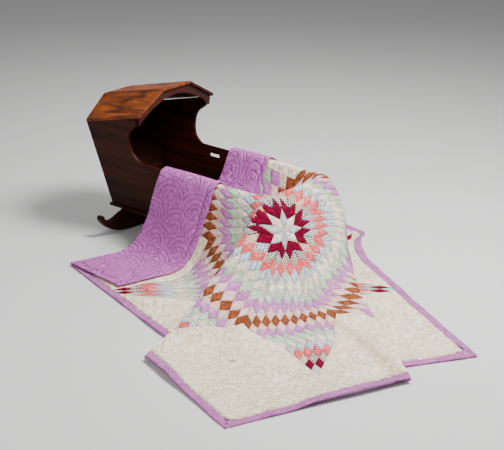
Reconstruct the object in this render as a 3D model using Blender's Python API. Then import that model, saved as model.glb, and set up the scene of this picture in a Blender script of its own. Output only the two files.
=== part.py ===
"""Star quilt over the foot end of a hooded cradle: metres, +Z up, +X from the hood to the foot end, -Y the near side."""
import math

import bmesh
import bpy
from mathutils import Matrix, Vector

for old in list(bpy.data.objects):
    bpy.data.objects.remove(old, do_unlink=True)

# ---------------------------------------------------------------- sizes
ARM = 0.5                      # side of one star arm: ten small diamonds of 50 mm
SHIFT = Vector((-0.7606, 0.4052, 0))   # cloth and cradle are drawn round the hood's mouth, then moved to the origin
BORDER, BINDING = 0.36, 0.07   # cream border at head and foot, and the sewn edge, in arms
HALF_W = 1.7071 + BINDING      # the quilt's half width and half length, in arms
HALF_L = 1.7071 + BORDER + BINDING
SHEET = 0.0042                 # padded cloth: top, batting and backing
LAYER = 0.0098                 # from one folded layer's middle to the next
REST = SHEET / 2               # middle of a layer that lies on the floor
SHOULDER = 0.016               # how far the cloth runs level over a board's edge before it drops
SEAM = 0.0012                  # half the gap between the quilt and its sewn edge
RAIL_Z = 0.378                 # middle of the cloth where it crosses the cradle's edge

# ---------------------------------------------------------------- how the quilt lies
# Each flat part on the floor: turn from the cradle's length in degrees, and where its star centre would be (in arms).
FLOOR = {"left": (-18.9, 1.969, -0.129), "flap": (-20.5, 1.681, -0.358), "right": (-30.0, 1.013, -0.982)}

# The near and far edges of the cradle: quilt point (u, v) and place (x, y) at three stations, then the quilt's own edge.
# (near: v), and on the far side, which the photo hides, v and where that lies on the floor.
#          u_near  v_near  x_near  y_near   u_far  v_far  x_far  y_far   sag    end_v   far_v   far_x  far_y  flat
STATIONS = {
    "foot": (-0.20, 0.40,  1.47,  -0.424,   0.80,  0.60,  1.47,  0.424,  0.012,  0.15,   0.55,   1.47,  1.09,  0.60),
    "lip":  (-0.20, 0.43,  1.435, -0.424,   0.80,  0.62,  1.435, 0.424,  0.018,  0.19,   0.58,   1.44,  1.11,  0.60),
    "in":   (-0.21, 0.50,  1.385, -0.424,   0.80,  0.66,  1.385, 0.424,  0.15,   0.26,   0.64,   1.39,  1.13,  0.58),
    "deep": (-0.24, 0.62,  1.20,  -0.423,   0.79,  0.80,  1.16,  0.423,  0.34,   0.45,   0.80,   1.24,  1.15,  0.56),
    "hem":  (-0.28, 0.803, 0.95,  -0.421,   0.77,  1.053, 0.84,  0.421,  0.40,   0.803,  1.053,  0.97,  1.15,  0.60),
    "fold": (-0.38, 1.475, 0.301, -0.420,   0.75,  1.60,  0.385, 0.420,  0.42,   1.475,  1.60,   0.47,  1.12,  0.42),
}

# Fibres from the foot board to the quilt's edge, in order round the foot: place along the foot board (0 near, 1 far),
# the quilt point they end at, the floor part they lie on, the layer, how much lies flat (in arms), and the steps to the next row.
#            along  end_u    end_v     part    layer flat  steps fold
FIBRES = [
    ("rail",  0.0, -HALF_W,  0.15,    "left",  0, 0.60, 6, 0),
    ("under", 0.0, -HALF_W, -0.50,    "left",  0, 0.34, 0, 1),
    ("back",  0.0, -HALF_W, -0.50,    "left",  1, 0.34, 4, 0),
    ("lip",   0.0, -HALF_W, -0.855,   "flap",  1, 0.34, 0, -1),
    ("front", 0.0, -HALF_W, -0.855,   "flap",  2, 0.34, 4, 0),
    ("ease",  0.06, -HALF_W, -1.25,   "flap",  2, 0.62, 3, 0),
    ("low",   0.12, -HALF_W, -1.60,   "flap",  0, 1.00, 4, 0),
    ("corner", 0.24, -HALF_W, -HALF_L, "flap", 0, 1.65, 7, 0),
    ("hem1",  0.60, -1.25,  -HALF_L,  "flap",  0, 1.45, 2, 0),
    ("hem2",  0.70, -0.95,  -HALF_L,  "flap",  2, 1.42, 4, 0),
    ("edge2", 0.965, -0.28, -HALF_L,  "flap",  2, 1.50, 2, 0),
    ("lip2",  1.0, -0.17,   -HALF_L,  "flap",  2, 1.55, 0, 1),
    ("back2", 1.0, -0.17,   -HALF_L,  "flap",  1, 1.55, 5, 0),
    ("in2",   1.0,  0.50,   -HALF_L,  "right", 1, 1.50, 0, -1),
    ("out2",  1.0,  0.50,   -HALF_L,  "right", 0, 1.50, 8, 0),
    ("corner2", 1.0, HALF_W, -HALF_L, "right", 0, 2.00, 8, 0),
    ("turn2", 1.0,  HALF_W,  0.0,     "right", 0, 0.33, 5, 0),
    ("far",   1.0,  HALF_W,  0.55,    "far",   0, 0.30, 0, 0),
]


def on_floor(part, u, v):
    if part == "far":
        return Vector(STATIONS["foot"][11:13]) + Vector((0.0, u - HALF_W))
    turn, x, y = FLOOR[part]
    c, s = math.cos(math.radians(turn)), math.sin(math.radians(turn))
    return Vector((-c * v - s * u + x, -s * v + c * u + y))


def mix(a, b, t):
    return [p + (q - p) * t for p, q in zip(a, b)]


def smooth(t):
    t = min(1.0, max(0.0, t))
    return t * t * (3 - 2 * t)


def bezier(a, b, c, d, t):
    s = 1 - t
    return a * s**3 + b * (3 * s * s * t) + c * (3 * s * t * t) + d * t**3


def hanging(edge, out, end, along, length, flat, spread):
    """The side view of one fibre: over the board's edge, down, and out flat on the floor to its end."""
    start = edge + Vector((out.x, out.y, 0)).normalized() * SHOULDER + Vector((0, 0, -0.001))
    foot = end - along * flat
    far = (foot - start).length
    pts = [bezier(start, start + out * far * spread, foot - along * far * 0.42, foot, k / 24) for k in range(25)]
    pts = [edge] + pts
    marks = [0.0]
    for a, b in zip(pts, pts[1:]):
        marks.append(marks[-1] + (b - a).length)
    landed = 1 - flat / length
    return pts + [end], [m / marks[-1] * landed for m in marks] + [1.0]


def at(path, t):
    pts, marks = path
    t = min(1.0, max(0.0, t))
    k = 1
    while marks[k] < t and k < len(marks) - 1:
        k += 1
    f = (t - marks[k - 1]) / max(marks[k] - marks[k - 1], 1e-9)
    return pts[k - 1].lerp(pts[k], f), (pts[k] - pts[k - 1]).normalized()


class Fibre:
    def __init__(self, start_uv, start, out, end_uv, end, along, layer, flat, spread=0.32, name="", fold=0):
        self.uv0, self.uv1 = Vector(start_uv), Vector(end_uv)
        self.layer, self.name, self.fold = layer, name, fold
        length = (self.uv1 - self.uv0).length * ARM
        self.side = Vector((along.y, -along.x, 0)).normalized()
        self.path = hanging(start, out.normalized(), end.to_3d() + Vector((0, 0, REST)), along.to_3d().normalized(), length, flat * ARM, spread)
        du, dv = abs(self.uv1.x - self.uv0.x), abs(self.uv1.y - self.uv0.y)
        on_side = abs(abs(self.uv1.x) - HALF_W) < 1e-4
        on_hem = abs(abs(self.uv1.y) - HALF_L) < 1e-4
        cuts = [BINDING / max(du, 0.1)] * on_side + [BINDING / max(dv, 0.1)] * on_hem
        self.cut = 1 - sum(cuts) / max(1, len(cuts))
        self.gap = SEAM / length

    def point(self, t, bulge=0.0, lift=0.0):
        p, d = at(self.path, t)
        plan = Vector((d.x, d.y, 0))
        up = Vector((0, 0, 1)) if plan.length < 1e-5 and abs(d.z) < 1e-5 else None
        if up is None:
            flat = plan.normalized() if plan.length > 1e-5 else Vector((self.side.y * -1, self.side.x, 0))
            up = flat * (-d.z) + Vector((0, 0, plan.length))
        full = smooth(t * 6)
        return p + up.normalized() * (LAYER * full * (self.layer + lift)) + self.side * (bulge * full)

    def quilt(self, t):
        return self.uv0.lerp(self.uv1, t)


def station(w):
    """Values of STATIONS at w: 0 is the foot, 5 the fold."""
    rows = list(STATIONS.values())
    k = min(int(w), len(rows) - 2)
    return mix(rows[k], rows[k + 1], w - k)


def near_fibre(w):
    r = station(w)
    end = on_floor("left", -HALF_W, r[9])
    along = end - on_floor("left", r[0], r[1])
    return Fibre((r[0], r[1]), Vector((r[2], r[3], RAIL_Z / ARM)) * ARM, Vector((0, -0.55, -0.8)),
                 (-HALF_W, r[9]), end * ARM, along, 0, r[13])


def far_fibre(w):
    r = station(w)
    end = Vector((r[11], r[12]))
    along = end - Vector((r[6], r[7]))
    return Fibre((r[4], r[5]), Vector((r[6], r[7], RAIL_Z / ARM)) * ARM, Vector((0, 0.85, -0.55)),
                 (HALF_W, r[10]), end * ARM, along, 0, 0.30)


def foot_point(b):
    a = station(0)
    dip = a[8] * (1 - abs(2 * b - 1) ** 3)
    return Vector((a[2] + 0.0 * b, a[3] + (a[7] - a[3]) * b, RAIL_Z / ARM - dip)) * ARM, (a[0] + (a[4] - a[0]) * b, a[1] + (a[5] - a[1]) * b)


def foot_fibres():
    """All fibres round the foot end, with rounded turns where the cloth folds under itself."""
    made = []
    for k, row in enumerate(FIBRES):
        name, b, u, v, part, layer, flat, steps, fold = row
        nxt = FIBRES[min(k + 1, len(FIBRES) - 1)]
        for i in range(max(1, steps)):
            t = i / max(1, steps)
            bb, uu, vv = mix((b, u, v), (nxt[1], nxt[2], nxt[3]), t) if steps else (b, u, v)
            ends, alongs = [], []
            start, uv = foot_point(bb)
            for p in (part, nxt[4]):
                e = on_floor(p, uu, vv)
                ends.append(e)
                alongs.append((e - on_floor(p, *uv)).normalized())
            end, along = ends[0].lerp(ends[1], t), alongs[0].lerp(alongs[1], t)
            out = Vector((0.62, 0, -0.78)).lerp(Vector((0.3, -0.62 if bb < 0.5 else 0.62, -0.7)), abs(2 * bb - 1) ** 6)
            level = layer + (nxt[5] - layer) * smooth(t) if steps else layer
            lying = flat + (nxt[6] - flat) * t if steps else flat
            spread = 0.10 + 0.2 * smooth(bb * 6) if bb < 1 else 0.16
            fibre = Fibre(uv, start, out, (uu, vv), end * ARM, along, level, lying, spread, name if i == 0 else "", fold)
            fibre.b = bb
            made.append(fibre)
    return made


def columns():
    """Every column of the outer cloth from the near fold round the foot to the far fold: (fibre, bulge, lift)."""
    cols = [(near_fibre(w), 0, 0, "") for w in STEPS[::-1]]
    for f in foot_fibres()[1:-1]:
        if f.fold:
            cols.append((f, 0, 0, f.name))
            for turn in (45, 90, 135):
                a = math.radians(turn)
                step = 0.5 * (1 - math.cos(a)) * (1 if f.name == "under" else (1 if f.name == "lip" else -1))
                way = {"under": -1, "lip": 1, "lip2": -1, "in2": 1}[f.name]
                cols.append((f, way * math.sin(a) * LAYER / 2, step, ""))
        else:
            cols.append((f, 0, 0, f.name))
    cols += [(far_fibre(w), 0, 0, "") for w in STEPS]
    return cols



HEM = 4.0                     # station where the folded-down top ends
TOP_SEAM = HEM + BINDING / (STATIONS["fold"][1] - STATIONS["hem"][1])
STEPS = [0, 0.5, 1, 1.5, 2, 2.5, 3, 3.5, HEM, TOP_SEAM - 0.0025, TOP_SEAM + 0.0025, 4.35, 4.55, 4.75, 4.9, 5.0]
FIRST = STEPS.index(HEM)
DOWN = [0, 0.03, 0.07, 0.12, 0.18, 0.25, 0.33, 0.42, 0.5, 0.58, 0.66, 0.74, 0.82, 0.91, 1.0]
BODY = len(DOWN)
ROWS = BODY + 3


def rows_of(f):
    body = [t * (f.cut - f.gap) for t in DOWN]
    return body + [f.cut + f.gap, (f.cut + 1) / 2 + f.gap / 2, 1.0]


def inside(w, b):
    """The cloth between the cradle's sides."""
    r = station(w)
    p = Vector((r[2], r[3], RAIL_Z / ARM)).lerp(Vector((r[6], r[7], RAIL_Z / ARM)), b)
    p.z -= r[8] * (1 - min(1, abs(2 * b - 1) / 0.93) ** 2.6)
    return p * ARM


class Cloth:
    """The whole cloth as one grid: outer columns, the part inside the cradle, and the top that is folded down over both."""

    def __init__(self):
        self.cols = columns()
        self.last, self.side = len(self.cols) - 1, len(STEPS)
        self.place, self.uv, self.same = {}, {}, {}
        front = range(self.side, self.last - self.side + 1)
        self.across = [self.side - 1] + [c for c in front if 0 < self.cols[c][0].b < 1] + [self.last - self.side + 1]
        for c, (f, bulge, lift, _) in enumerate(self.cols):
            for j, t in enumerate(rows_of(f)):
                self.place["c", c, j], self.uv["c", c, j] = f.point(t, bulge, lift), f.quilt(t)
            if c in front and c not in self.across:
                self.same["c", c, 0] = ("c", self.across[0] if f.b < 0.5 else self.across[-1], 0)
        self.n = len(self.across) - 1
        self.bs = [0] + [self.cols[c][0].b for c in self.across[1:-1]] + [1]
        for m in range(1, self.side):
            r = station(STEPS[m])
            for k in range(1, self.n):
                b = self.bs[k]
                self.place["i", m, k] = inside(STEPS[m], b)
                self.uv["i", m, k] = Vector((r[0] + (r[4] - r[0]) * b, r[1] + (r[5] - r[1]) * b))
        self.faces = self.outer(range(self.last), range(ROWS - 1)) + self.inner(range(self.side - 1))
        self.normals()
        self.fold()

    def key(self, *k):
        return self.same.get(k, k)

    def rim(self, m, k):
        if m == 0:
            return ("c", self.across[k], 0)
        if k == 0:
            return ("c", self.side - 1 - m, 0)
        if k == self.n:
            return ("c", self.last - self.side + 1 + m, 0)
        return ("i", m, k)

    def outer(self, cols, rows):
        return [[self.key("c", c, j), self.key("c", c, j + 1), self.key("c", c + 1, j + 1), self.key("c", c + 1, j)] for c in cols for j in rows]

    def inner(self, stations):
        return [[self.rim(m, k), self.rim(m, k + 1), self.rim(m + 1, k + 1), self.rim(m + 1, k)] for m in stations for k in range(self.n)]

    def normals(self):
        self.normal = {}
        for face in self.faces:
            p = [self.place[k] for k in face]
            n = (p[2] - p[0]).cross(p[3] - p[1])
            for k in face:
                self.normal[k] = self.normal.get(k, Vector()) + n
        for k, n in self.normal.items():
            self.normal[k] = n.normalized()

    def fold(self):
        """Copies the stations from the hem to the fold a layer higher, with a rounded turn at the fold."""
        for m in range(FIRST, self.side):
            back = 5 - STEPS[m]
            line = [(self.side - 1 - m, j) for j in range(ROWS - 1, 0, -1)]
            keys = [("c", c, j) for c, j in line] + [self.rim(m, k) for k in range(self.n + 1)]
            keys += [("c", self.last - self.side + 1 + m, j) for j in range(1, ROWS)]
            for k in keys:
                p = self.place[k].copy()
                if k[0] == "c" and k[2]:
                    f = self.cols[k[1]][0]
                    p = f.point(rows_of(f)[k[2]] * (1 - (0.09 if k[1] < self.side else 0) * back))
                u, v = self.uv[k]
                share = 0 if k[0] == "c" and k[1] < self.side else 1 if k[0] == "c" else self.bs[k[2]]
                line_v = STATIONS["fold"][1] + (STATIONS["fold"][5] - STATIONS["fold"][1]) * share
                self.place[("up",) + k] = p + self.normal[k] * LAYER * (1 + 0.25 * smooth(back * 2))
                self.uv[("up",) + k] = Vector((u, 2 * line_v - v))
                if m == self.side - 1:
                    inward = {("c", 0): ("c", 1), ("c", self.last): ("c", self.last - 1)}.get(k[:2])
                    before = inward + (k[2],) if inward else ("i", m - 1, k[2])
                    out = (self.place[k] - self.place[before]).normalized()
                    for i, turn in enumerate((45, 90, 135)):
                        a = math.radians(turn)
                        self.place[("turn%d" % i,) + k] = self.place[k] + self.normal[k] * (LAYER / 2 * (1 - math.cos(a))) + out * (LAYER / 2 * math.sin(a))
                        self.uv[("turn%d" % i,) + k] = self.uv[k]

    def line(self, m, rows):
        """Keys along station m from the near edge over the cradle to the far edge; rows picks the outer rows used."""
        near = [("c", self.side - 1 - m, j) for j in sorted(rows, reverse=True) if j]
        far = [("c", self.last - self.side + 1 + m, j) for j in sorted(rows) if j]
        return near, [self.rim(m, k) for k in range(self.n + 1)], far

    def strip(self, first, last, pick):
        """Faces of the folded-down top between two stations, from the fold's turn to the hem; pick takes the keys of one station."""
        lines = []
        if last == self.side - 1:
            base = pick(last)
            lines += [base] + [[("turn%d" % i,) + k for k in base] for i in range(3)]
        lines += [[("up",) + k for k in pick(m)] for m in range(last, first - 1, -1)]
        return [[a[i], a[i + 1], b[i + 1], b[i]] for a, b in zip(lines, lines[1:]) for i in range(len(a) - 1)]


def sheet(name, cloth, faces, material, shrink=None):
    """One closed piece of cloth from faces of the grid."""
    mesh, bm, made = bpy.data.meshes.new(name), bmesh.new(), {}
    for face in faces:
        ring = []
        for k in face:
            if k not in made:
                p = cloth.place[k]
                if shrink and k in shrink:
                    q = cloth.place[shrink[k]]
                    p = p + (q - p).normalized() * SEAM
                made[k] = bm.verts.new(p + SHIFT * 1)
            if made[k] not in ring:
                ring.append(made[k])
        if len(ring) > 2:
            bm.faces.new(ring)
    bmesh.ops.triangulate(bm, faces=bm.faces[:])
    bm.to_mesh(mesh)
    bm.free()
    obj = bpy.data.objects.new(name, mesh)
    bpy.context.collection.objects.link(obj)
    obj.data.materials.append(material)
    solid = obj.modifiers.new("padding", "SOLIDIFY")
    solid.thickness, solid.offset, solid.use_even_offset = SHEET, 0.0, False
    return obj


def paint(name, colour, rough):
    m = bpy.data.materials.new(name)
    m.use_nodes = True
    m.node_tree.nodes["Principled BSDF"].inputs["Base Color"].default_value = (*colour, 1)
    m.node_tree.nodes["Principled BSDF"].inputs["Roughness"].default_value = rough
    return m


quilt_paint = paint("cotton", (0.80, 0.72, 0.62), 0.9)
edge_paint = paint("lavender", (0.52, 0.50, 0.66), 0.9)
wood = paint("dark_wood", (0.16, 0.06, 0.03), 0.45)

cloth = Cloth()
corner = next(c for c, col in enumerate(cloth.cols) if col[3] == "corner")
corner2 = next(c for c, col in enumerate(cloth.cols) if col[3] == "corner2")
top = FIRST + 2               # first station of the folded-down part that is quilt, not binding
body_rows, edge_rows = range(BODY), range(BODY, ROWS)


def body_line(m):
    near, mid, far = cloth.line(m, body_rows)
    return near + mid + far


def full_line(m):
    near, mid, far = cloth.line(m, range(ROWS))
    return near + mid + far


body = cloth.outer(range(cloth.last), range(BODY - 1)) + cloth.inner(range(cloth.side - 1))
body += cloth.strip(top, cloth.side - 1, body_line)
sheet("quilt", cloth, body, quilt_paint)
edges = range(BODY, ROWS - 1)
sheet("binding_near", cloth, cloth.outer(range(corner), edges) + cloth.strip(top, cloth.side - 1, lambda m: cloth.line(m, edge_rows)[0]), edge_paint)
sheet("binding_foot", cloth, cloth.outer(range(corner, corner2), edges), edge_paint,
      {("c", c, j): ("c", n, j) for c, n in ((corner, corner + 1), (corner2, corner2 - 1)) for j in edge_rows})
sheet("binding_far", cloth, cloth.outer(range(corner2, cloth.last), edges) + cloth.strip(top, cloth.side - 1, lambda m: cloth.line(m, edge_rows)[2]), edge_paint)
sheet("binding_head", cloth, cloth.strip(FIRST, FIRST + 1, full_line), edge_paint)

# ---------------------------------------------------------------- the cradle
T = 0.012                                   # board thickness
LEAN, RAKE = math.radians(10), math.radians(14)   # sides lean out, head board leans back
FLOOR_Z = 0.1165                            # underside of the sides
Y0, X0 = 0.171, -0.2175                     # outer half width and head end at the bottom


def board(name, outline, thickness, place, turn=(0, 0, 0)):
    """A board from its outline in its own XZ plane, thickness along its own +Y."""
    bm = bmesh.new()
    face = bm.faces.new([bm.verts.new((x, 0, z)) for x, z in outline])
    moved = bmesh.ops.extrude_face_region(bm, geom=[face])
    bmesh.ops.translate(bm, verts=[v for v in moved["geom"] if isinstance(v, bmesh.types.BMVert)], vec=(0, thickness, 0))
    bmesh.ops.recalc_face_normals(bm, faces=bm.faces[:])
    mesh = bpy.data.meshes.new(name)
    bm.to_mesh(mesh)
    bm.free()
    obj = bpy.data.objects.new(name, mesh)
    bpy.context.collection.objects.link(obj)
    obj.data.materials.append(wood)
    obj.location, obj.rotation_euler = Vector(place) + SHIFT, turn
    return obj


def curve(points, steps=6):
    """A smooth line through the points (Catmull-Rom)."""
    out = []
    for i in range(len(points) - 1):
        p = [Vector(points[max(0, min(len(points) - 1, i + d))]) for d in (-1, 0, 1, 2)]
        for k in range(steps):
            t = k / steps
            out.append(tuple(0.5 * (2 * p[1] + (p[2] - p[0]) * t + (2 * p[0] - 5 * p[1] + 4 * p[2] - p[3]) * t**2 + (3 * p[1] - p[0] - 3 * p[2] + p[3]) * t**3)))
    return out + [tuple(points[-1])]


def up(z):
    return (z - FLOOR_Z) / math.cos(LEAN)


RAIL = RAIL_Z - 0.0085                      # top of the side boards, 2 mm and more under the cloth
mouth = curve([(0.004, RAIL), (-0.022, RAIL + 0.014), (-0.048, RAIL + 0.042), (-0.059, RAIL + 0.090), (-0.050, RAIL + 0.140), (-0.014, RAIL + 0.172)])
side = [(-0.2275, 0.0), (0.703, 0.0), (0.734, up(RAIL))] + [(x, up(z)) for x, z in mouth] + [(0.004, up(0.560)), (0.004, up(0.5936)), (-0.320, up(0.5114))]
slot = [(0.088 + x, up(0.330) + z) for x, z in curve([(-0.0325, 0), (-0.028, 0.0075), (-0.012, 0.0085), (0, 0.0055), (0.012, 0.0085), (0.028, 0.0075), (0.0325, 0), (0.028, -0.0075), (0, -0.0085), (-0.028, -0.0075), (-0.0325, 0)], 3)[:-1]]
for name, way in (("side_near", -1), ("side_far", 1)):
    plank = board(name, side, T, (0, way * Y0, FLOOR_Z), (-way * LEAN, 0, 0))
    hole = board("cut_" + name, slot, 0.06, (0, way * Y0, FLOOR_Z), (-way * LEAN, 0, 0))
    for v in hole.data.vertices:
        v.co.y -= 0.03
    if way > 0:
        for v in plank.data.vertices:
            v.co.y -= T
    hole.hide_render = True
    cut = plank.modifiers.new("hand hold", "BOOLEAN")
    cut.object, cut.operation = hole, "DIFFERENCE"


def inner(z):
    """Half width between the side boards at height z, less the fitting gap."""
    return Y0 + math.tan(LEAN) * (z - FLOOR_Z) - T / math.cos(LEAN) - 0.0006


def end_board(name, x, rake, outline, way):
    rise = math.cos(rake)
    flat = [(y, (z - FLOOR_Z) / rise) for y, z in outline]
    plank = board(name, flat, T, (x, 0, FLOOR_Z), (0, 0, 0))
    plank.matrix_world = Matrix.Translation(Vector((x, 0, FLOOR_Z + T * math.sin(rake) + 0.0006)) + SHIFT) @ Matrix.Rotation(way * rake, 4, "Y") @ Matrix.Rotation(math.radians(90), 4, "Z")
    return plank


FIT = 0.0004                                # the foot board leans less, so it fits a little tighter
end_board("head_board", X0 + 0.012, RAKE, [(-inner(FLOOR_Z), FLOOR_Z), (inner(FLOOR_Z), FLOOR_Z), (inner(0.5246), 0.5246), (0.087, 0.6002), (-0.087, 0.6002), (-inner(0.5246), 0.5246)], -1)
end_board("foot_board", 0.7075, math.radians(7.5), [(-inner(FLOOR_Z) - FIT, FLOOR_Z), (inner(FLOOR_Z) + FIT, FLOOR_Z), (inner(RAIL - 0.006) + FIT, RAIL - 0.006), (-inner(RAIL - 0.006) - FIT, RAIL - 0.006)], 1)
board("bottom_board", [(-0.236, 0), (0.716, 0), (0.716, 0.012), (-0.236, 0.012)], 2 * Y0 + 0.018, (0, -Y0 - 0.009, FLOOR_Z - 0.0126))

EAVE_Y, BREAK_Y, DROP = 0.2525, 0.088, 0.0138


def panel(name, tops):
    """A hood board from the four corners of its top face, cut straight down."""
    bm = bmesh.new()
    a = [bm.verts.new(Vector(p) + SHIFT) for p in tops]
    b = [bm.verts.new(Vector((p[0], p[1], p[2] - DROP)) + SHIFT) for p in tops]
    bm.faces.new(a)
    bm.faces.new(b[::-1])
    for i in range(4):
        bm.faces.new((a[i], b[i], b[(i + 1) % 4], a[(i + 1) % 4]))
    bmesh.ops.recalc_face_normals(bm, faces=bm.faces[:])
    mesh = bpy.data.meshes.new(name)
    bm.to_mesh(mesh)
    bm.free()
    obj = bpy.data.objects.new(name, mesh)
    bpy.context.collection.objects.link(obj)
    obj.data.materials.append(wood)
    return obj


for name, way in (("hood_near", -1), ("hood_far", 1)):
    panel(name, [(-0.3105, way * EAVE_Y, 0.529), (0.0285, way * EAVE_Y, 0.615), (0.029, way * (BREAK_Y + 0.0006), 0.708), (-0.355, way * (BREAK_Y + 0.0006), 0.6105)])
panel("hood_top", [(-0.355, -BREAK_Y, 0.6108), (0.029, -BREAK_Y, 0.7083), (0.029, BREAK_Y, 0.7083), (-0.355, BREAK_Y, 0.6108)])

arch = curve([(-0.238, 0.560), (-0.198, 0.594), (-0.145, 0.6225), (-0.070, 0.6525), (0, 0.660), (0.070, 0.6525), (0.145, 0.6225), (0.198, 0.594), (0.238, 0.560)])
roof = [(0.243, 0.6003), (0.090, 0.6866), (-0.090, 0.6866), (-0.243, 0.6003)]
fascia = board("hood_front", arch + roof, T, (0, 0, 0))
fascia.matrix_world = Matrix.Translation(Vector((0.0185, 0, 0)) + SHIFT) @ Matrix.Rotation(math.radians(90), 4, "Z")

half = [(0.0, 0.0), (0.12, 0.003), (0.22, 0.014), (0.28, 0.036), (0.325, 0.070), (0.345, 0.098), (0.338, 0.112), (0.322, 0.108), (0.315, 0.092), (0.295, 0.078), (0.26, 0.076), (0.215, 0.092), (0.180, 0.1035)]
line = curve(half, 4)
rocker = [(-y, z) for y, z in line[::-1]] + line[1:]
for name, x, reach in (("rocker_head", -0.145, 1.0), ("rocker_foot", 0.600, 0.86)):
    r = board(name, [(y * reach, z) for y, z in rocker], 0.024, (0, 0, 0))
    r.matrix_world = Matrix.Translation(Vector((x + 0.012, 0, 0)) + SHIFT) @ Matrix.Rotation(math.radians(90), 4, "Z")
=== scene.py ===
import math

import bmesh
import bpy
from mathutils import Matrix, Vector, noise
from mathutils.bvhtree import BVHTree
from mathutils.interpolate import poly_3d_calc


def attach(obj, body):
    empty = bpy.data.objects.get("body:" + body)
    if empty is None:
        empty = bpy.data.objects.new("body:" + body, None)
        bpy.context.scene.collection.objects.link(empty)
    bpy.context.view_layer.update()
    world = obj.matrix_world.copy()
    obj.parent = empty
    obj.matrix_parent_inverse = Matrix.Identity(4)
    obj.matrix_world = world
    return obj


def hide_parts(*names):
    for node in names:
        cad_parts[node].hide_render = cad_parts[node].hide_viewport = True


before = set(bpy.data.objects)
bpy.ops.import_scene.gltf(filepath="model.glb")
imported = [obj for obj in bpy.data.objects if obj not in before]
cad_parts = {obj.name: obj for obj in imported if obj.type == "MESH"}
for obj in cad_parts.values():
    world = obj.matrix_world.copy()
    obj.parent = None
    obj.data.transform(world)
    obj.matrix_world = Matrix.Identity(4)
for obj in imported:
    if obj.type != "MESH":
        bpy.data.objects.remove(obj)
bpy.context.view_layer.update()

# The camera and the studio.
# A plain pale floor and large soft lights stand round the cradle. The camera looks down on the
# foot end from the near side, with the long lens that the photograph was taken with.
turn, drop, roll = (math.radians(d) for d in (39.674, 20.563, 1.051))
right = Vector((math.cos(turn), math.sin(turn), 0))
ahead = Vector((-math.sin(turn) * math.cos(drop), math.cos(turn) * math.cos(drop), -math.sin(drop)))
above = right.cross(ahead)
across = right * math.cos(roll) + above * math.sin(roll)
upward = above * math.cos(roll) - right * math.sin(roll)
camera = bpy.data.objects.new("camera", bpy.data.cameras.new("camera"))
bpy.context.collection.objects.link(camera)
axes = Matrix((across, upward, -ahead)).transposed().to_4x4()
camera.matrix_world = Matrix.Translation((4.2339, -5.0238, 2.7825)) @ axes
camera.data.sensor_fit, camera.data.sensor_width, camera.data.lens = "HORIZONTAL", 36.0, 118.36
camera.data.clip_end = 60
bpy.context.scene.camera = camera

lights = [  # name, size of its square face, watts, place
    ("key light", 1.3, 262, (1.1, 0.9, 3.3)),
    ("fill light", 2.2, 68, (1.2, -3.4, 2.3)),
    ("back light", 1.6, 40, (-1.8, 2.0, 2.6)),
]
for name, size, power, place in lights:
    lamp = bpy.data.objects.new(name, bpy.data.lights.new(name, "AREA"))
    bpy.context.collection.objects.link(lamp)
    lamp.data.size, lamp.data.energy = size, power
    lamp.location = place
    lamp.rotation_euler = (Vector((0.1, 0, 0.2)) - Vector(place)).to_track_quat("-Z", "Y").to_euler()
world = bpy.data.worlds.new("soft room")
world.use_nodes = True
world.node_tree.nodes["Background"].inputs["Color"].default_value = (0.83, 0.85, 0.88, 1)
world.node_tree.nodes["Background"].inputs["Strength"].default_value = 0.24
bpy.context.scene.world = world


class Wire:
    """A socket in shader maths. Operators add Math nodes, and node() adds any other node."""

    def __init__(self, tree, socket=None):
        self.tree, self.socket = tree, socket

    def node(self, kind, settings=None, inputs=None, out=0):
        n = self.tree.nodes.new("ShaderNode" + kind)
        for key, value in (settings or {}).items():
            if key == "stops":
                ramp = n.color_ramp
                ramp.elements.remove(ramp.elements[1])
                ramp.elements[0].position, ramp.elements[0].color = value[0][0], (*value[0][1], 1)
                for place, colour in value[1:]:
                    ramp.elements.new(place).color = (*colour, 1)
            elif key == "steps":
                n.color_ramp.interpolation = value
            else:
                setattr(n, key, value)
        for key, value in (inputs or {}).items():
            if isinstance(value, Wire):
                self.tree.links.new(value.socket, n.inputs[key])
            else:
                n.inputs[key].default_value = value
        return Wire(self.tree, n.outputs[out])

    def out(self, name):
        return Wire(self.tree, self.socket.node.outputs[name])

    def maths(self, operation, a, b=0.0):
        return self.node("Math", {"operation": operation}, {0: a, 1: b})

    def __add__(self, other): return self.maths("ADD", self, other)
    def __radd__(self, other): return self.maths("ADD", other, self)
    def __sub__(self, other): return self.maths("SUBTRACT", self, other)
    def __rsub__(self, other): return self.maths("SUBTRACT", other, self)
    def __mul__(self, other): return self.maths("MULTIPLY", self, other)
    def __rmul__(self, other): return self.maths("MULTIPLY", other, self)
    def __truediv__(self, other): return self.maths("DIVIDE", self, other)
    def __rtruediv__(self, other): return self.maths("DIVIDE", other, self)
    def __pow__(self, other): return self.maths("POWER", self, other)
    def __gt__(self, other): return self.maths("GREATER_THAN", self, other)
    def __lt__(self, other): return self.maths("LESS_THAN", self, other)

    def mix(self, a, b):
        """Colour a where this value is 0, and b where it is 1."""
        a, b = (colour if isinstance(colour, Wire) else (*colour, 1) for colour in (a, b))
        return self.node("Mix", {"data_type": "RGBA"}, {0: self, 6: a, 7: b}, out=2)

    def times(self, other):
        """This colour multiplied by a colour or by a value."""
        return self.node("VectorMath", {"operation": "MULTIPLY"}, {0: self, 1: other})


def finish(name, roughness):
    """A new material: its node tree as a Wire, and its shader's sockets."""
    material = bpy.data.materials.new(name)
    material.use_nodes = True
    shader = material.node_tree.nodes["Principled BSDF"]
    shader.inputs["Roughness"].default_value = roughness
    return material, Wire(material.node_tree), shader.inputs


def rgb(red, green, blue):
    """A colour as a maker reads it off a chart, 0 to 255, as the shader's own numbers."""
    return tuple(((c / 255 + 0.055) / 1.055) ** 2.4 if c > 10 else c / 3294.6 for c in (red, green, blue))


def connect(wire, socket):
    wire.tree.links.new(wire.socket, socket)


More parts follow.
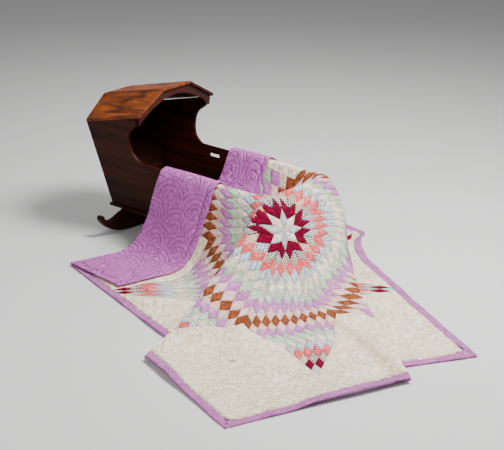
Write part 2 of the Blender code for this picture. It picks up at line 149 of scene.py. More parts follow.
bm = bmesh.new()
bmesh.ops.create_grid(bm, x_segments=2, y_segments=2, size=14)
bmesh.ops.translate(bm, verts=bm.verts, vec=(0, 0, -0.0008))
floor = bpy.data.objects.new("floor", bpy.data.meshes.new("floor"))
bm.to_mesh(floor.data)
bm.free()
bpy.context.collection.objects.link(floor)
pale, start, shader = finish("pale floor", 0.85)
speck = start.node("TexNoise", {}, {"Scale": 3.0, "Detail": 4.0})
connect(speck.mix(rgb(206, 205, 203), rgb(214, 213, 211)), shader["Base Color"])
floor.data.materials.append(pale)

# How the quilt lies.
# The quilt is three layers sewn together: a pieced top, batting, and a lavender cotton back. It isn't
# fixed: it lies over the foot end of the cradle, its top turned down, and runs out over the floor.
ARM = 0.5                      # side of one star arm, ten small diamonds of 50 mm
MOVE = Vector((-0.7606, 0.4052, 0))
STAR, BORDER, BINDING = 1.7071, 0.36, 0.07   # half the star, the cream border and the binding, in arms
HALF_W, HALF_L = STAR + BINDING, STAR + BORDER + BINDING
THICK, LAYER, SHOULDER, RAIL_Z, SEAM = 0.0042, 0.0098, 0.016, 0.378, 0.0012
FLAT = {"left": (-18.9, 1.969, -0.129), "flap": (-20.5, 1.681, -0.358), "right": (-30.0, 1.013, -0.982)}
# Stations along the cradle, from the foot board to the fold: the quilt point (u, v) and the place (x, y) at the near
# edge, then at the far edge, how deep the cloth sags between them, v at the quilt's own near and far edges, where the
# far edge lies on the floor, and how much of the near side lies flat.
# near: u      v      x      y       far: u  v     x      y      sag    near_v far_v  far_x far_y flat
STATIONS = [
    (-0.20, 0.40,  1.47,  -0.424, 0.80, 0.60,  1.47,  0.424, 0.012, 0.15,  0.55,  1.47, 1.09, 0.60),
    (-0.20, 0.43,  1.435, -0.424, 0.80, 0.62,  1.435, 0.424, 0.018, 0.19,  0.58,  1.44, 1.11, 0.60),
    (-0.21, 0.50,  1.385, -0.424, 0.80, 0.66,  1.385, 0.424, 0.15,  0.26,  0.64,  1.39, 1.13, 0.58),
    (-0.24, 0.62,  1.20,  -0.423, 0.79, 0.80,  1.16,  0.423, 0.34,  0.45,  0.80,  1.24, 1.15, 0.56),
    (-0.28, 0.803, 0.95,  -0.421, 0.77, 1.053, 0.84,  0.421, 0.40,  0.803, 1.053, 0.97, 1.15, 0.60),
    (-0.38, 1.475, 0.301, -0.420, 0.75, 1.60,  0.385, 0.420, 0.42,  1.475, 1.60,  0.47, 1.12, 0.42),
]
# Lines of cloth round the foot: the place along the foot board (0 near, 1 far), the quilt point (u, v) that the
# line ends at, the flat part it lies on, its layer, how much lies flat, the steps to the next line, and its fold.
# name     along  end_u    end_v     part     layer flat steps fold
FIBRES = [
    ("rail",    0.0,   -HALF_W, 0.15,    "left",  0, 0.60, 6, 0),
    ("under",   0.0,   -HALF_W, -0.50,   "left",  0, 0.34, 0, 1),
    ("back",    0.0,   -HALF_W, -0.50,   "left",  1, 0.34, 4, 0),
    ("lip",     0.0,   -HALF_W, -0.855,  "flap",  1, 0.34, 0, -1),
    ("front",   0.0,   -HALF_W, -0.855,  "flap",  2, 0.34, 4, 0),
    ("ease",    0.06,  -HALF_W, -1.25,   "flap",  2, 0.62, 3, 0),
    ("low",     0.12,  -HALF_W, -1.60,   "flap",  0, 1.00, 4, 0),
    ("corner",  0.24,  -HALF_W, -HALF_L, "flap",  0, 1.65, 7, 0),
    ("hem1",    0.60,  -1.25,   -HALF_L, "flap",  0, 1.45, 2, 0),
    ("hem2",    0.70,  -0.95,   -HALF_L, "flap",  2, 1.42, 4, 0),
    ("edge2",   0.965, -0.28,   -HALF_L, "flap",  2, 1.50, 2, 0),
    ("lip2",    1.0,   -0.17,   -HALF_L, "flap",  2, 1.55, 0, 1),
    ("back2",   1.0,   -0.17,   -HALF_L, "flap",  1, 1.55, 5, 0),
    ("in2",     1.0,   0.50,    -HALF_L, "right", 1, 1.50, 0, -1),
    ("out2",    1.0,   0.50,    -HALF_L, "right", 0, 1.50, 8, 0),
    ("corner2", 1.0,   HALF_W,  -HALF_L, "right", 0, 2.00, 8, 0),
    ("turn2",   1.0,   HALF_W,  0.0,     "right", 0, 0.33, 5, 0),
    ("far",     1.0,   HALF_W,  0.55,    "far",   0, 0.30, 0, 0),
]
HEM = 4.0
SEAM_AT = HEM + BINDING / (STATIONS[5][1] - STATIONS[4][1])
STEPS = [0, 0.5, 1, 1.5, 2, 2.5, 3, 3.5, HEM, SEAM_AT - 0.0025, SEAM_AT + 0.0025, 4.35, 4.55, 4.75, 4.9, 5.0]
DOWN = [0, 0.03, 0.07, 0.12, 0.18, 0.25, 0.33, 0.42, 0.5, 0.58, 0.66, 0.74, 0.82, 0.91, 1.0]
FIRST, SIDE, BODY, ROWS = STEPS.index(HEM), len(STEPS), len(DOWN), len(DOWN) + 3


def smooth(t):
    t = min(1.0, max(0.0, t))
    return t * t * (3 - 2 * t)


def between(a, b, t):
    return [p + (q - p) * t for p, q in zip(a, b)]


def on_floor(part, u, v):
    """The place on the floor (in arms) of a quilt point, if it lies flat on the named part."""
    if part == "far":
        return Vector(STATIONS[0][11:13]) + Vector((0.0, u - HALF_W))
    angle, x, y = FLAT[part]
    c, s = math.cos(math.radians(angle)), math.sin(math.radians(angle))
    return Vector((-c * v - s * u + x, -s * v + c * u + y))


class Fibre:
    """One line of cloth from the cradle's edge to the quilt's edge: over the board, down, and out along the floor."""

    def __init__(self, start_uv, edge, out, end_uv, end, along, layer, flat, spread=0.32, fold=0, name="", b=0):
        self.uv0, self.uv1 = Vector(start_uv), Vector(end_uv)
        self.layer, self.fold, self.name, self.b = layer, fold, name, b
        length = (self.uv1 - self.uv0).length * ARM
        self.side = Vector((along.y, -along.x, 0)).normalized()
        end, along = end.to_3d() + Vector((0, 0, THICK / 2)), along.to_3d().normalized()
        top = edge + Vector((out.x, out.y, 0)).normalized() * SHOULDER + Vector((0, 0, -0.001))
        foot = end - along * flat * ARM
        reach = (foot - top).length
        a, b2, c = top, top + out.normalized() * reach * spread, foot - along * reach * 0.42
        self.line = [edge]
        for k in range(25):
            t = k / 24
            s = 1 - t
            self.line.append(a * s**3 + b2 * (3 * s * s * t) + c * (3 * s * t * t) + foot * t**3)
        marks = [0.0]
        for p, q in zip(self.line, self.line[1:]):
            marks.append(marks[-1] + (q - p).length)
        self.marks = [m / marks[-1] * (1 - flat * ARM / length) for m in marks] + [1.0]
        self.line.append(end)
        along_quilt = self.uv1 - self.uv0
        cuts = [BINDING / max(abs(along_quilt.x), 0.1)] * (abs(abs(self.uv1.x) - HALF_W) < 1e-4)
        cuts += [BINDING / max(abs(along_quilt.y), 0.1)] * (abs(abs(self.uv1.y) - HALF_L) < 1e-4)
        self.cut, self.gap = 1 - sum(cuts) / max(1, len(cuts)), SEAM / length

    def point(self, t, bulge=0.0, lift=0.0):
        t = min(1.0, max(0.0, t))
        k = next((i for i, m in enumerate(self.marks) if i and m >= t), len(self.marks) - 1)
        p, q = self.line[k - 1], self.line[k]
        d = (q - p).normalized()
        level = Vector((d.x, d.y, 0))
        ahead = level.normalized() if level.length > 1e-5 else Vector((-self.side.y, self.side.x, 0))
        up = (ahead * (-d.z) + Vector((0, 0, level.length))).normalized()
        full = smooth(t * 6)
        place = p.lerp(q, (t - self.marks[k - 1]) / max(self.marks[k] - self.marks[k - 1], 1e-9))
        return place + up * (LAYER * full * (self.layer + lift)) + self.side * (bulge * full)

    def rows(self):
        sewn_edge = [self.cut + self.gap, (self.cut + 1) / 2 + self.gap / 2, 1.0]
        return [t * (self.cut - self.gap) for t in DOWN] + sewn_edge


def station(w):
    k = min(int(w), 4)
    return between(STATIONS[k], STATIONS[k + 1], w - k)


def near_fibre(w):
    r = station(w)
    end = on_floor("left", -HALF_W, r[9])
    edge, out = Vector((r[2], r[3], RAIL_Z / ARM)) * ARM, Vector((0, -0.55, -0.8))
    return Fibre(r[0:2], edge, out, (-HALF_W, r[9]), end * ARM, end - on_floor("left", r[0], r[1]), 0, r[13])


def far_fibre(w):
    r = station(w)
    end = Vector((r[11], r[12]))
    edge, out = Vector((r[6], r[7], RAIL_Z / ARM)) * ARM, Vector((0, 0.85, -0.55))
    return Fibre(r[4:6], edge, out, (HALF_W, r[10]), end * ARM, end - Vector((r[6], r[7])), 0, 0.30)


def foot_fibres():
    a, made = station(0), []
    for k, (name, b, u, v, part, layer, flat, steps, fold) in enumerate(FIBRES):
        then = FIBRES[min(k + 1, len(FIBRES) - 1)]
        for i in range(max(1, steps)):
            t = i / max(1, steps)
            bb, uu, vv, lying = between((b, u, v, flat), (then[1], then[2], then[3], then[6]), t)
            edge = Vector((a[2], a[3] + (a[7] - a[3]) * bb, RAIL_Z / ARM - a[8] * (1 - abs(2 * bb - 1) ** 3))) * ARM
            uv = (a[0] + (a[4] - a[0]) * bb, a[1] + (a[5] - a[1]) * bb)
            ends = [on_floor(p, uu, vv) for p in (part, then[4])]
            ways = [(e - on_floor(p, *uv)).normalized() for e, p in zip(ends, (part, then[4]))]
            at_corner = Vector((0.3, -0.62 if bb < 0.5 else 0.62, -0.7))
            out = Vector((0.62, 0, -0.78)).lerp(at_corner, abs(2 * bb - 1) ** 6)
            height, spread = layer + (then[5] - layer) * smooth(t), 0.10 + 0.2 * smooth(bb * 6) if bb < 1 else 0.16
            made.append(Fibre(uv, edge, out, (uu, vv), ends[0].lerp(ends[1], t) * ARM, ways[0].lerp(ways[1], t),
                              height, lying, spread, fold, name if i == 0 else "", bb))
    return made


columns = [(near_fibre(w), 0, 0) for w in STEPS[::-1]]
for f in foot_fibres()[1:-1]:
    columns.append((f, 0, -0.6 if f.layer == 1 and f.b == 1 and not f.name else 0))
    if f.fold:
        lifts = {"under": (-1, 1), "lip": (1, 1), "lip2": (-1, -1), "in2": (1, -1)}[f.name]
        for a in (math.radians(d) for d in (45, 90, 135)):
            columns.append((f, lifts[0] * math.sin(a) * LAYER / 2, lifts[1] * 0.5 * (1 - math.cos(a))))
columns += [(far_fibre(w), 0, 0) for w in STEPS]
LAST = len(columns) - 1
plain = [(c, f.name) for c, (f, bulge, lift) in enumerate(columns) if not bulge]
corner, corner2 = (next(c for c, name in plain if name == wanted) for wanted in ("corner", "corner2"))

# Every point of the cloth by name: "c" column and row, "i" station and place across, "up" the turned-down top.
place, point, same, facing = {}, {}, {}, {}
front = range(SIDE, LAST - SIDE + 1)
rim = [SIDE - 1] + [c for c in front if 0 < columns[c][0].b < 1] + [LAST - SIDE + 1]
WIDE = len(rim) - 1
share = [0] + [columns[c][0].b for c in rim[1:-1]] + [1]
for c, (f, bulge, lift) in enumerate(columns):
    for j, t in enumerate(f.rows()):
        place["c", c, j], point["c", c, j] = f.point(t, bulge, lift), f.uv0.lerp(f.uv1, t)
    if c in front and c not in rim:
        same["c", c, 0] = ("c", rim[0] if f.b < 0.5 else rim[-1], 0)
for m in range(1, SIDE):
    r = station(STEPS[m])
    for k in range(1, WIDE):
        b = share[k]
        p = Vector((r[2], r[3], RAIL_Z / ARM)).lerp(Vector((r[6], r[7], RAIL_Z / ARM)), b)
        p.z -= r[8] * (1 - min(1, abs(2 * b - 1) / 0.93) ** 2.6)
        place["i", m, k], point["i", m, k] = p * ARM, Vector((r[0] + (r[4] - r[0]) * b, r[1] + (r[5] - r[1]) * b))


def over(m, k):
    """The key of the point at station m and place k across the cradle, its edges shared with the hanging cloth."""
    if m == 0:
        return ("c", rim[k], 0)
    return ("c", SIDE - 1 - m, 0) if k == 0 else ("c", LAST - SIDE + 1 + m, 0) if k == WIDE else ("i", m, k)


def outer(first, last, rows):
    """The keys of the cloth outside the cradle, column by column."""
    return [[same.get(("c", c, j), ("c", c, j)) for j in rows] for c in range(first, last + 1)]


inner = [[over(m, k) for k in range(WIDE + 1)] for m in range(SIDE)]
for lines in (outer(0, LAST, range(ROWS)), inner):
    for one, two in zip(lines, lines[1:]):
        for ring in zip(one, one[1:], two[1:], two):
            n = (place[ring[2]] - place[ring[0]]).cross(place[ring[3]] - place[ring[1]])
            for k in ring:
                facing[k] = facing.get(k, Vector()) + n


def line(m, rows):
    """The keys of one station from the near edge to the far edge: near side, over the cradle, far side."""
    near = [("c", SIDE - 1 - m, j) for j in sorted(rows, reverse=True) if j]
    far = [("c", LAST - SIDE + 1 + m, j) for j in sorted(rows) if j]
    return near, [over(m, k) for k in range(WIDE + 1)], far


for m in range(FIRST, SIDE):
    back = 5 - STEPS[m]
    for k in sum(line(m, range(ROWS)), []):
        p, n, (u, v) = place[k].copy(), facing[k].normalized(), point[k]
        is_near = k[0] == "c" and k[1] < SIDE
        if k[0] == "c" and k[2]:
            f = columns[k[1]][0]
            p = f.point(f.rows()[k[2]] * (1 - (0.09 if is_near else 0) * back))
        over_to_far = 0 if is_near else 1 if k[0] == "c" else share[k[2]]
        fold_v = STATIONS[5][1] + (STATIONS[5][5] - STATIONS[5][1]) * over_to_far
        place[("up",) + k] = p + n * LAYER * (1 + 0.25 * smooth(back * 2))
        point[("up",) + k] = Vector((u, 2 * fold_v - v))
        if m == SIDE - 1:
            before = ("c", 1 if is_near else LAST - 1, k[2]) if k[0] == "c" else ("i", m - 1, k[2])
            out = (place[k] - place[before]).normalized()
            for i, a in enumerate((math.radians(d) for d in (45, 90, 135))):
                round_fold = n * (LAYER / 2 * (1 - math.cos(a))) + out * (LAYER / 2 * math.sin(a))
                place[("turn%d" % i,) + k] = place[k] + round_fold
                point[("turn%d" % i,) + k] = point[k]


def turned_down(first, pick):
    """The lines of the folded-down top from the fold to a station; pick takes the keys of one station."""
    base = pick(SIDE - 1)
    lines = [base] + [[("turn%d" % i,) + k for k in base] for i in range(3)]
    return lines + [[("up",) + k for k in pick(m)] for m in range(SIDE - 1, first - 1, -1)]


noise.seed_set(3)   # without a seed, the settling would be another one at each run


def sag(p):
    """The small uneven settling of the cloth, the same for all layers at one place, and less over the cradle."""
    free = smooth((max(abs(p.y) - 0.232, p.x - 0.752)) / 0.07)
    if abs(p.y) < 0.232 and p.x < 0.752:
        free = 0.25
    big, small = noise.noise_vector(p * 5.5 + Vector((3, 1, 7))), noise.noise_vector(p * 15.0)
    shift = (big * 0.0085 + small * 0.0030) * free
    low = smooth((p.z - 0.006) / 0.10)
    shift.z = shift.z * low + abs(shift.z) * (1 - low) * 1.3
    shift.x, shift.y = shift.x * (0.3 + 0.7 * low), shift.y * (0.3 + 0.7 * low)
    return shift


def tucked(u, v):
    """How far the hidden lip of the inner pleat lies pressed down, so that the top layer covers it."""
    return 0.0048 * math.exp(-((u - 0.61) / 0.10) ** 2) * smooth((-0.86 - v) / 0.16) * smooth((v + 1.62) / 0.16)


# The real piecing isn't even, so corners of the star's diamonds are read off the photograph and the pattern
# is drawn towards them. A row: the ring it is in, the arm's direction in degrees, the diamonds counted along the
# arm's two sides from the star's centre, and the place in the photograph, in pixels from its top left corner.
PHOTO_WIDE, PHOTO_TALL = 504, 450
SEEN = [
    # ring      arm  first second x    y
    ("centre",  0,   0,    0,   281,   226),
    ("third",   180, 1,    2,   266,   252),
    ("third",   180, 2,    1,   259.5, 247.5),
    ("third",   225, 2,    1,   279,   258),
    ("third",   270, 2,    1,   302,   251),
    ("third",   315, 2,    1,   310,   230),
    ("third",   0,   2,    1,   301,   211),
    ("third",   45,  2,    1,   282,   199.5),
    ("third",   90,  2,    1,   263.5, 209),
    ("fifth",   180, 1,    4,   258,   272),
    ("fifth",   225, 4,    1,   273,   276.5),
    ("fifth",   225, 2,    3,   293,   276.5),
    ("fifth",   270, 4,    1,   313,   269),
    ("fifth",   270, 2,    3,   322,   254),
    ("fifth",   315, 4,    1,   331,   233),
    ("fifth",   315, 2,    3,   328,   219),
    ("fifth",   0,   4,    1,   319,   201),
    ("fifth",   0,   2,    3,   304,   192),
    ("eighth",  270, 0.5,  7.5, 348,   266),
    ("eighth",  270, 2.5,  5.5, 340,   280),
    ("eighth",  270, 4.5,  3.5, 328,   294),
    ("tenth",   180, 0.5,  9.5, 241,   320),
    ("tenth",   180, 2.5,  7.5, 222.5, 305),
    ("tenth",   180, 4.5,  5.5, 209,   290),
    ("tenth",   225, 2.5,  7.5, 313,   316),
    ("tenth",   225, 6.5,  3.5, 275,   321),
    ("tenth",   270, 6.5,  3.5, 355,   287.5),
    ("tenth",   270, 8.5,  1.5, 346,   305),
    ("edge",    180, 2.5,  9.5, 222,   327),
    ("edge",    180, 6.5,  9.5, 185,   324),
    ("edge",    135, 8.5,  9.5, 124,   293),
    ("point",   225, 10,   10,  318,   375),
    ("point",   315, 9.5,  9.5, 391,   290),
]


def drawn_in(at, marks):
    """How far the pattern is off at a cloth point: the mean at the corners round it, none far from all of them."""
    weights = [math.exp(-(at - mark).length_squared / 0.07) for mark, shift in marks]
    return sum((shift * w for w, (mark, shift) in zip(weights, marks)), Vector((0, 0))) / (sum(weights) + 0.4)


def corner_marks(mesh):
    """The cloth point that the camera sees at each corner of the list, with how far the pattern is off there."""
    tree = BVHTree.FromPolygons([v.co for v in mesh.vertices], [face.vertices for face in mesh.polygons])
    eye, turned = camera.matrix_world.translation, camera.matrix_world.to_3x3()
    lens = PHOTO_WIDE * camera.data.lens / camera.data.sensor_width
    seen, wanted = [], []
    for ring, arm, first, second, x, y in SEEN:
        way = turned @ Vector((x - PHOTO_WIDE / 2, PHOTO_TALL / 2 - y, -lens))
        spot, normal, face, distance = tree.ray_cast(eye, way)
        corners = mesh.polygons[face].vertices
        shares = poly_3d_calc([mesh.vertices[i].co for i in corners], spot)
        at = sum((mesh.attributes["at"].data[i].vector.xy * part for i, part in zip(corners, shares)), Vector((0, 0)))
        sides = [Vector((math.cos(math.radians(d)), math.sin(math.radians(d)))) for d in (arm, arm + 45)]
        seen.append(at)
        wanted.append((sides[0] * first + sides[1] * second) / 10 - at)
    marks = [(at, Vector((0, 0))) for at in seen]
    for again in range(3):
        marks = [(at, shift + want - drawn_in(at, marks)) for (at, shift), want in zip(marks, wanted)]
    return marks


def set_pattern(mesh, marks):
    """Write where each point of the cloth is in the pattern, as the chart that the materials read."""
    found = {}
    for loop in mesh.uv_layers["quilt"].data:
        key = (round(loop.uv.x, 4), round(loop.uv.y, 4))
        if key not in found:
            found[key] = loop.uv + drawn_in(loop.uv, marks)
        loop.uv = found[key]


def lay(name, grids, finishes, thickness):
    """One sheet: grids set down point by point, joined along shared lines, made finer, settled and thickened."""
    bm = bmesh.new()
    quilt_point = bm.verts.layers.float_vector.new("at")
    for lines in grids:
        tall, wide = len(lines) - 1, len(lines[0]) - 1
        for v in bmesh.ops.create_grid(bm, x_segments=wide, y_segments=tall, size=1)["verts"]:
            k = lines[round((v.co.y + 1) / 2 * tall)][round((v.co.x + 1) / 2 * wide)]
            v.co, v[quilt_point] = place[k] + MOVE, point[k].to_3d()
    bmesh.ops.remove_doubles(bm, verts=bm.verts, dist=2e-5)
    chart = bm.loops.layers.uv.new("quilt")
    for face in bm.faces:
        face.smooth = True
        for loop in face.loops:
            loop[chart].uv = loop.vert[quilt_point].xy
    rough = bpy.data.meshes.new(name + " rough")
    bm.to_mesh(rough)
    bm.free()
    piece = bpy.data.objects.new(name, rough)
    bpy.context.collection.objects.link(piece)
    finer = piece.modifiers.new("finer", "SUBSURF")
    finer.levels = finer.render_levels = 2
    finer.boundary_smooth = "PRESERVE_CORNERS"
    mesh = bpy.data.meshes.new_from_object(piece.evaluated_get(bpy.context.evaluated_depsgraph_get()))
    piece.modifiers.remove(finer)
    mesh.name, piece.data = name, mesh
    for v, at in zip(mesh.vertices, mesh.attributes["at"].data):
        v.co += sag(v.co - MOVE)
        v.co.z = max(min(v.co.z, THICK / 2), v.co.z - tucked(*at.vector.xy))
    mesh.materials.clear()
    for f in finishes:
        mesh.materials.append(f)
    padding = piece.modifiers.new("padding", "SOLIDIFY")
    padding.thickness, padding.offset, padding.use_even_offset = thickness, 0.0, False
    padding.material_offset = padding.material_offset_rim = len(finishes) - 1
    return piece


# The quilt.
# The pieced top is an eight-armed star of small diamonds in printed cottons on a cream cotton ground, and the
# back is plain lavender cotton. Rows of running stitch through all three layers make the feathers and fans.
def groove(start, distance, width):
    """1 on the padding and 0 in the stitched line, where distance is from the nearest line."""
    ends = {"Value": distance, "From Min": 0.0, "From Max": width}
    return start.node("MapRange", {"interpolation_type": "SMOOTHSTEP"}, ends)


def tinted(start, red, green, blue):
    """A colour to multiply another with: how much of its red, green and blue stays."""
    return start.node("CombineXYZ", {}, {0: red, 1: green, 2: blue})


def weave(start, uv):
    return start.node("TexNoise", {}, {"Vector": uv, "Scale": 180.0, "Detail": 3.0, "Roughness": 0.6})


def creases(start, uv):
    """1 on smooth cloth and less in the thin crooked lines where the padding has shrunk and drawn the cloth in."""
    lines = None
    for scale, width, depth in ((6.0, 0.030, 0.75), (17.0, 0.060, 0.5)):
        bent = start.node("TexNoise", {}, {"Vector": uv, "Scale": scale, "Detail": 3.0, "Distortion": 1.1})
        line = groove(start, start.maths("ABSOLUTE", bent - 0.5), width) * depth + (1 - depth)
        lines = line if lines is None else start.maths("MINIMUM", lines, line)
    return lines


def star_top():
    material, start, shader = finish("pieced top", 0.95)
    shader["Specular IOR Level"].default_value = 0.12
    uv = start.node("UVMap", {"uv_map": "quilt"})
    split = start.node("SeparateXYZ", {}, {0: uv})
    u, v = split.out("X"), split.out("Y")
    reach, eighth = (u * u + v * v) ** 0.5, math.pi / 4
    angle = start.maths("ARCTAN2", v, u)
    sector = start.maths("FLOOR", angle / eighth)
    swing = angle - sector * eighth
    x, y = reach * start.maths("COSINE", swing), reach * start.maths("SINE", swing)
    a, b = (x - y) * 10, y * (10 * math.sqrt(2))
    ia, ib = start.maths("FLOOR", a), start.maths("FLOOR", b)
    fa, fb = a - ia, b - ib
    in_star = (a < 10) * (b < 10)
    row = (ia + ib + 0.5) / 19
    # One cotton to each row from the star's centre: its colour, its print's colour, and how much of the print is
    # spots, stripes and checks.
    cream, maroon = ((246, 236, 214), (228, 214, 180), (0.4, 0, 0)), ((122, 0, 44), (90, 0, 32), (0.4, 0, 0))
    checked, coral = ((240, 226, 212), (40, 45, 80), (0, 0, 1)), ((240, 104, 106), (244, 170, 165), (0.5, 0, 0))
    striped, green = ((214, 224, 230), (96, 140, 190), (0, 0.85, 0)), ((198, 222, 196), (160, 196, 164), (0.6, 0, 0))
    lilac, brown = ((210, 134, 206), (186, 104, 184), (0.4, 0, 0)), ((152, 84, 50), (104, 46, 28), (0.7, 0, 0))
    blush, pink = ((246, 214, 204), (226, 160, 160), (0.6, 0, 0)), ((244, 206, 196), (240, 226, 210), (0.5, 0, 0))
    centre_white = ((244, 240, 230), (236, 230, 220), (0.3, 0, 0))
    tip_grey = ((214, 222, 228), (236, 230, 220), (0.3, 0, 0))
    cloths = [centre_white, maroon, checked, coral, striped, cream, green, lilac, blush, brown,
              pink, lilac, green, cream, striped, coral, checked, maroon, tip_grey]
    ramps = []
    for n in range(3):
        stops = [(k / 19, rgb(*cloth[n]) if n < 2 else cloth[n]) for k, cloth in enumerate(cloths)]
        ramps.append(start.node("ValToRGB", {"steps": "CONSTANT", "stops": stops}, {"Fac": row}))
    kinds = start.node("SeparateColor", {}, {0: ramps[2]})
    diamond = start.node("CombineXYZ", {}, {0: ia, 1: ib, 2: sector})
    each = start.node("TexWhiteNoise", {}, {"Vector": diamond}, out="Value")
    spots = start.node("TexVoronoi", {}, {"Vector": uv, "Scale": 42.0, "Randomness": 0.9}, out="Distance") < 0.36
    stripes = start.maths("FRACT", fa * 2.5 + each * 3) < 0.24
    checks = (start.maths("FRACT", fa * 4) < 0.64) * (start.maths("FRACT", fb * 4) < 0.64)
    centre = (ia + ib) < 0.5
    odd = start.maths("ABSOLUTE", start.maths("FRACT", sector / 2)) > 0.25
    printed = kinds.out("Red") * spots + kinds.out("Green") * stripes + kinds.out("Blue") * checks
    inks = [(0, rgb(38, 42, 92)), (0.36, rgb(30, 28, 30)), (0.62, rgb(214, 120, 84)), (0.85, rgb(90, 120, 170))]
    dark = start.node("ValToRGB", {"steps": "CONSTANT", "stops": inks}, {"Fac": each})
    colour = printed.mix(ramps[0], kinds.out("Blue").mix(ramps[1], dark))
    colour = (centre * odd * 0.8).mix(colour, rgb(186, 198, 210))
    worn = start.node("TexNoise", {}, {"Vector": uv, "Scale": 5.0, "Detail": 5.0})
    colour = colour.times(tinted(start, 0.90 + each * 0.12, 0.90 + each * 0.12, 0.91 + each * 0.10))
    seam_a, seam_b = start.maths("MINIMUM", fa, 1 - fa), start.maths("MINIMUM", fb, 1 - fb)
    near_seam = start.maths("MINIMUM", seam_a, seam_b)
    pad = groove(start, near_seam, 0.30)
    # Painted shade: each diamond is darker towards its seams, where the padding dips to the stitching.
    colour = (pad * 0.8 + 0.2).mix(colour.times(tinted(start, 0.74, 0.72, 0.72)), colour)
    # The ground: rings of feathers in each cream square and triangle, with lines across between them.
    ring_u, ring_v = start.maths("ABSOLUTE", u) - 1.19, start.maths("ABSOLUTE", v) - 1.19
    ring = (ring_u * ring_u + ring_v * ring_v) ** 0.5
    plume = start.maths("SINE", start.maths("ARCTAN2", ring_v, ring_u) * 22 + ring * 34)
    wave = start.maths("ABSOLUTE", start.maths("SINE", ring * 24 + plume * 0.55))
    one_way = start.maths("ABSOLUTE", start.maths("SINE", (u + v) * 31))
    other_way = start.maths("ABSOLUTE", start.maths("SINE", (u - v) * 31))
    cross = start.maths("MINIMUM", one_way, other_way)
    in_ring = start.node("MapRange", {}, {"Value": ring, "From Min": 0.52, "From Max": 0.56})
    stitched = in_ring.node("Mix", {"data_type": "FLOAT"}, {0: in_ring, 2: wave, 3: cross})
    ground_pad = groove(start, stitched, 0.75)
    ground = worn.mix(rgb(249, 228, 200), rgb(255, 243, 222))
    # Painted shade: the cream is darker in the stitched lines of the feathers and the cross lines.
    ground = (ground_pad * 0.6 + 0.4).mix(ground.times(tinted(start, 0.90, 0.88, 0.87)), ground)
    pucker = start.node("TexNoise", {}, {"Vector": uv, "Scale": 22.0, "Detail": 4.0, "Roughness": 0.55})
    # Painted shade along the fold where the top layer lies over the inner pleat: in this band the crease lines are
    # deeper and the tan darkening wider. The band also deepens the bump.
    fold_shade = (1 - groove(start, start.maths("ABSOLUTE", u - v * 0.125 - 0.045), 0.10)) * (v < -1.08)
    wrinkles = start.node("TexNoise", {}, {"Vector": uv, "Scale": 26.0, "Detail": 3.0, "Distortion": 1.2})
    lines = 1 - groove(start, start.maths("ABSOLUTE", wrinkles - 0.5), 0.09)
    crease = creases(start, uv) * (1 - fold_shade * (lines * 0.85 + 0.15))
    top = in_star.mix(ground, colour)
    # Painted shade: the cloth is painted a darker tan in the crease lines and in the fold band.
    colour = crease.mix(top.times(tinted(start, 0.76, 0.63, 0.47)), top)
    connect(colour, shader["Base Color"])
    sewn_pad = in_star.node("Mix", {"data_type": "FLOAT"}, {0: in_star, 2: ground_pad, 3: pad})
    height = sewn_pad * 0.55 + pucker * 1.0 + crease * 0.7 + weave(start, uv) * 0.10
    bump = start.node("Bump", {}, {"Strength": 1.0, "Distance": 0.006, "Height": height})
    connect(bump, shader["Normal"])
    return material


def plain_back(name="lavender back", lightest=(206, 122, 196), darkest=(180, 94, 170), fans=True):
    material, start, shader = finish(name, 0.95)
    shader["Specular IOR Level"].default_value = 0.12
    uv = start.node("UVMap", {"uv_map": "quilt"})
    split = start.node("SeparateXYZ", {}, {0: uv})
    pull = start.node("TexNoise", {}, {"Vector": uv, "Scale": 9.0, "Detail": 3.0}, out="Color")
    shrunk = start.node("SeparateXYZ", {}, {0: pull})
    u, v = split.out("X") + shrunk.out("X") * 0.045, split.out("Y") + shrunk.out("Y") * 0.045
    # Fans: rows of nested half rings, each row starting half a fan along and covering the row behind.
    wide, tall = 0.34, 0.20
    rise, pads = u / tall, None
    for step in (1, 0):
        row = start.maths("FLOOR", rise) - step
        cu = (start.maths("FRACT", v / wide + start.maths("FRACT", row / 2)) - 0.5) * wide
        cv = (rise - row) * tall
        reach = (cu * cu + cv * cv) ** 0.5
        arcs = groove(start, start.maths("ABSOLUTE", start.maths("SINE", reach * 70)), 0.62)
        inside = reach < wide * 0.62
        pads = arcs if pads is None else inside.node("Mix", {"data_type": "FLOAT"}, {0: inside, 2: pads, 3: arcs})
    pad = pads if fans else start.node("TexNoise", {}, {"Vector": uv, "Scale": 11.0})
    worn = start.node("TexNoise", {}, {"Vector": uv, "Scale": 6.0, "Detail": 5.0})
    colour = worn.mix(rgb(*darkest), rgb(*lightest))
    crease = creases(start, uv)
    shaded = colour.times(tinted(start, 0.74, 0.64, 0.76))
    connect((crease * (pad * 0.6 + 0.4)).mix(shaded, colour), shader["Base Color"])
    pucker = start.node("TexNoise", {}, {"Vector": uv, "Scale": 24.0, "Detail": 4.0})
    height = pad * 0.6 + pucker * 0.9 + crease * 0.6 + weave(start, uv) * 0.08
    bump = start.node("Bump", {}, {"Strength": 1.0, "Distance": 0.006, "Height": height})
    connect(bump, shader["Normal"])
    return material


top_cloth, back_cloth = star_top(), plain_back()
body_rows = range(BODY)
turned_top = turned_down(FIRST + 2, lambda m: sum(line(m, body_rows), []))
quilt = lay("quilt_cloth", [outer(0, LAST, body_rows), inner, turned_top], [top_cloth, back_cloth], THICK)
marks = corner_marks(quilt.data)
set_pattern(quilt.data, marks)
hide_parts("quilt")
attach(quilt, "root")

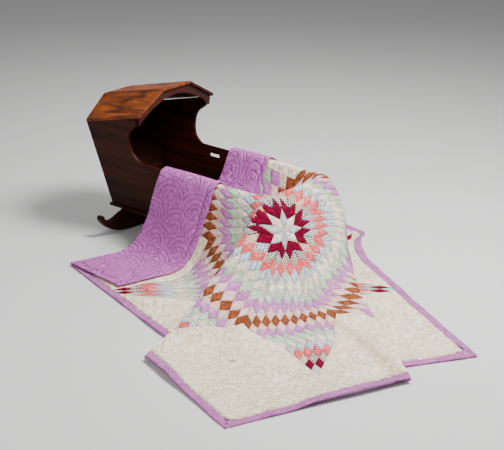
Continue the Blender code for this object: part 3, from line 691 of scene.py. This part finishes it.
# The binding.
# A strip of lavender cotton folded over the raw edge and sewn down on both sides, in four lengths:
# one along each side, one at the foot and one at the head, which ends the turned-down top.
binding_cloth = plain_back("binding cotton", (198, 130, 182), (172, 102, 156), fans=False)
edge = range(BODY, ROWS)
bindings = {
    "binding_near": [outer(0, corner, edge), turned_down(FIRST + 2, lambda m: line(m, edge)[0])],
    "binding_foot": [outer(corner, corner2, edge)],
    "binding_far": [outer(corner2, LAST, edge), turned_down(FIRST + 2, lambda m: line(m, edge)[2])],
    "binding_head": [[[("up",) + k for k in sum(line(m, range(ROWS)), [])] for m in (FIRST + 1, FIRST)]],
}
for node, grids in bindings.items():
    piece = lay(node + "_cloth", grids, [binding_cloth, back_cloth], THICK + SEAM)
    set_pattern(piece.data, marks)
    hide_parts(node)
    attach(piece, "root")
    length = 2 * ARM * (HALF_L if node in ("binding_near", "binding_far") else HALF_W)

# The cradle.
# The cradle is thin boards of dark red-brown wood with a worn, waxed finish, nailed and glued together:
# leaning sides, a raked head board, a three-sided hood with an arched front, and two rockers.
def waxed(name, light, dark, grain="X", gloss=0.36, shine=0.10):
    material, start, shader = finish(name, gloss)
    shader["Specular IOR Level"].default_value = shine
    where = start.node("TexCoord", out="Object")
    stretch = {"X": (1.6, 26, 26), "Y": (26, 1.6, 26)}[grain]
    drawn = start.node("Mapping", {}, {"Vector": where, "Scale": stretch})
    drift = start.node("TexNoise", {}, {"Vector": where, "Scale": 3.2, "Detail": 3.0})
    ringed = {"Vector": drawn, "Scale": 1.0, "Detail": 6.0, "Roughness": 0.62, "Distortion": 0.6}
    rings = start.node("TexNoise", {}, ringed)
    fine = start.node("TexNoise", {}, {"Vector": drawn, "Scale": 5.0, "Detail": 4.0, "Roughness": 0.7})
    mixed = rings * 0.72 + fine * 0.28 + drift * 0.25
    figure = start.node("MapRange", {}, {"Value": mixed, "From Min": 0.48, "From Max": 0.74})
    worn = start.node("TexNoise", {}, {"Vector": where, "Scale": 9.0, "Detail": 5.0})
    connect(figure.mix(rgb(*dark), rgb(*light)), shader["Base Color"])
    connect(gloss - 0.07 + worn * 0.16 + fine * 0.08, shader["Roughness"])
    bump = start.node("Bump", {}, {"Strength": 0.35, "Distance": 0.0012, "Height": rings * 0.4 + fine * 0.6})
    connect(bump, shader["Normal"])
    return material


red_brown = waxed("dark red-brown wood", (64, 24, 8), (20, 7, 3), gloss=0.46)
# The roof boards, hood_top and hood_near, are a lighter copy of the same dark wood: painted light, for the roof
# facing up into the key light.
painted_lit_wood = waxed("sunned roof board", (150, 72, 22), (44, 16, 6), gloss=0.38, shine=0.22)
end_grain = waxed("dark end boards", (52, 21, 11), (20, 8, 5), "Y", gloss=0.46)
front_board = waxed("hood front board", (70, 26, 11), (26, 9, 5), "Y", shine=0.16)
boards_in = {
    red_brown: ["side_near", "side_far", "bottom_board", "hood_far"],
    painted_lit_wood: ["hood_top", "hood_near"],
    end_grain: ["head_board", "foot_board", "rocker_head", "rocker_foot"],
    front_board: ["hood_front"],
}
for node, material in ((node, material) for material, nodes in boards_in.items() for node in nodes):
    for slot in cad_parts[node].material_slots:
        slot.material = material
